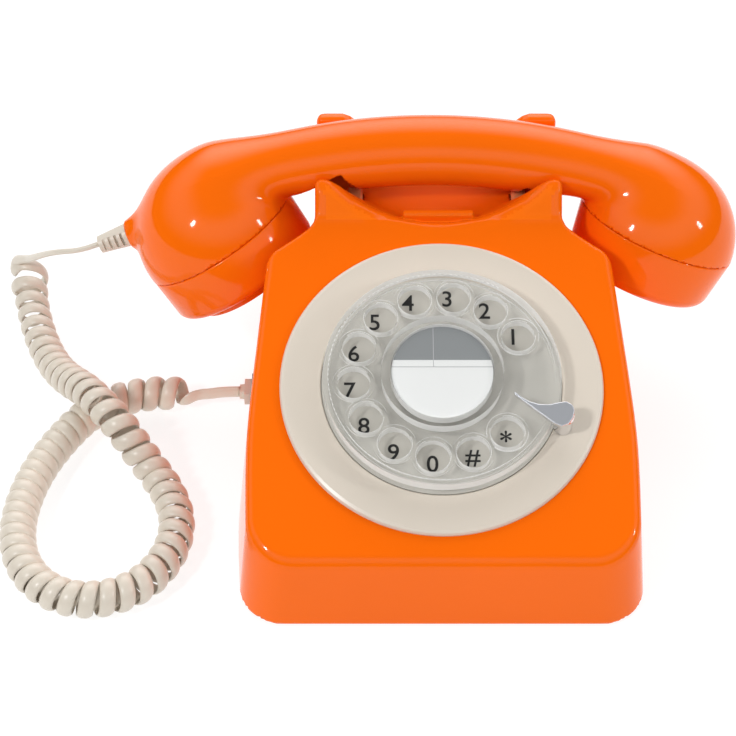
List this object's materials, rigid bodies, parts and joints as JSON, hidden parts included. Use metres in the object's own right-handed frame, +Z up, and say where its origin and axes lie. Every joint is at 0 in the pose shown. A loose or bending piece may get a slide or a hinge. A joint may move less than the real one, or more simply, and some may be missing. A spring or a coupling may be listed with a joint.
{
  "type": "rotary telephone",
  "caption": "Desk telephone with a rotary finger dial on a sloping glossy case, a corded handset in a horned cradle and a coiled handset cord.",
  "frame": {"origin": "on the table under the middle of the case, in the plane of the feet", "axes": "+Z up, +X to the right of a person facing the dial and along the handset, +Y from the dial towards the back"},
  "size_m": [0.3047, 0.2033, 0.1085],
  "materials": {
    "case_plastic": "glossy moulded orange ABS",
    "handset_plastic": "glossy moulded orange ABS",
    "cord_plastic": "flexible cream PVC",
    "plug_plastic": "moulded cream plug",
    "base_plastic": "satin black plate",
    "foot_rubber": "matte black rubber",
    "screw_steel": "zinc plated",
    "bezel_plastic": "cream semi-gloss",
    "wheel_acrylic": "clear acrylic",
    "cover_acrylic": "clear acrylic",
    "holder_plastic": "grey moulded cup",
    "card_paper": "printed paper card",
    "stop_chrome": "polished chrome",
    "dial_steel": "plated steel",
    "gear_brass": "machined brass",
    "contact_block": "phenolic block with leaf springs",
    "hook_steel": "plated steel",
    "plunger_plastic": "clear moulded plastic",
    "ringer_steel": "plated steel",
    "coil_copper": "enamelled copper winding",
    "gong_steel": "bright plated",
    "board_laminate": "green laminate",
    "component_dark": "moulded dark plastic",
    "terminal_plastic": "pale moulded block",
    "jack_plastic": "dark moulded socket",
    "slider_plastic": "ribbed black knob",
    "capsule_metal": "spun can",
    "gasket_rubber": "soft black ring",
    "ballast_iron": "bare iron bar"
  },
  "bodies": {
    "base": {"base_feet": "foot_rubber", "base_plate": "base_plastic", "capacitors": "component_dark", "case_screws": "screw_steel", "circuit_board": "board_laminate", "dial_bezel": "bezel_plastic", "dial_frame": "dial_steel", "dial_mainspring": "dial_steel", "dial_screws": "screw_steel", "finger_stop": "stop_chrome", "gear_cage": "dial_steel", "gong_high": "gong_steel", "gong_low": "gong_steel", "gong_posts": "ringer_steel", "gong_screws": "screw_steel", "handset_cord_base_lead": "cord_plastic", "handset_cord_coil": "cord_plastic", "handset_cord_plug": "plug_plastic", "handset_jack": "jack_plastic", "hook_bracket": "hook_steel", "hook_contacts": "contact_block", "hook_lever_pin": "hook_steel", "line_jack": "jack_plastic", "line_transformer": "component_dark", "number_plate": "bezel_plastic", "pulse_contacts": "contact_block", "ringer_bracket": "ringer_steel", "ringer_coil_left": "coil_copper", "ringer_coil_right": "coil_copper", "ringer_core": "ringer_steel", "terminal_block": "terminal_plastic", "upper_case": "case_plastic"},
    "handset": {"handset_body": "handset_plastic", "mouthpiece_cap": "handset_plastic", "earpiece_cap": "handset_plastic", "microphone_capsule": "capsule_metal", "receiver_capsule": "capsule_metal", "capsule_gaskets": "gasket_rubber", "handset_ballast": "ballast_iron", "handset_strain_relief": "cord_plastic", "handset_cord_top_lead": "cord_plastic"},
    "dial": {"finger_wheel": "wheel_acrylic", "card_holder": "holder_plastic", "label_card": "card_paper", "label_cover": "cover_acrylic", "wheel_screw": "screw_steel", "dial_shaft": "dial_steel", "main_gear": "gear_brass"},
    "pinion": {"pulse_pinion": "gear_brass"},
    "governor": {"governor_rotor": "gear_brass"},
    "hook_lever": {"hook_lever": "hook_steel"},
    "plunger_left": {"hook_plunger_left": "plunger_plastic"},
    "plunger_right": {"hook_plunger_right": "plunger_plastic"},
    "clapper": {"bell_clapper": "ringer_steel"},
    "volume_knob": {"volume_slider": "slider_plastic"}
  },
  "joints": [
    {"name": "handset_lift", "type": "slide", "parent": "base", "child": "handset", "axis": [0, 0, 1], "range_m": [0, 0.095], "deforming": ["handset_cord_top_lead"]},
    {"name": "hook_left", "type": "slide", "parent": "base", "child": "plunger_left", "axis": [0, 0, 1], "range_m": [0, 0.005]},
    {"name": "hook_right", "type": "slide", "parent": "base", "child": "plunger_right", "axis": [0, 0, 1], "range_m": [0, 0.005]},
    {"name": "hook_lever_turn", "type": "hinge", "parent": "base", "child": "hook_lever", "pos_m": [0, 0.074, 0.057], "axis": [-1, 0, 0], "range_deg": [0, 18.6]},
    {"name": "dial_spin", "type": "hinge", "parent": "base", "child": "dial", "pos_m": [0, -0.03089, 0.0574], "axis": [0, -0.3522, 0.9359], "range_deg": [-320, 0], "stiffness_Nm_per_rad": 0.005, "springref_deg": 45.84},
    {"name": "pinion_spin", "type": "hinge", "parent": "base", "child": "pinion", "pos_m": [-0.02706, -0.04011, 0.05393], "axis": [0, -0.3522, 0.9359], "range_deg": [0, 1600]},
    {"name": "governor_spin", "type": "hinge", "parent": "base", "child": "governor", "pos_m": [-0.02567, -0.05503, 0.04832], "axis": [0, -0.3522, 0.9359], "range_deg": [-4800, 0]},
    {"name": "clapper_swing", "type": "hinge", "parent": "base", "child": "clapper", "pos_m": [0, 0.034, 0.014], "axis": [0, 0, 1], "range_deg": [-2.8, 2.8]},
    {"name": "volume_slide", "type": "slide", "parent": "base", "child": "volume_knob", "axis": [1, 0, 0], "range_m": [-0.005, 0.005]}
  ],
  "couplings": [
    {"joint": "hook_left", "follows": "handset_lift", "ratio": 0.05263},
    {"joint": "hook_right", "follows": "handset_lift", "ratio": 0.05263},
    {"joint": "hook_lever_turn", "follows": "handset_lift", "rad_per_m": 3.3988},
    {"joint": "pinion_spin", "follows": "dial_spin", "ratio": -5},
    {"joint": "governor_spin", "follows": "dial_spin", "ratio": 15}
  ]
}
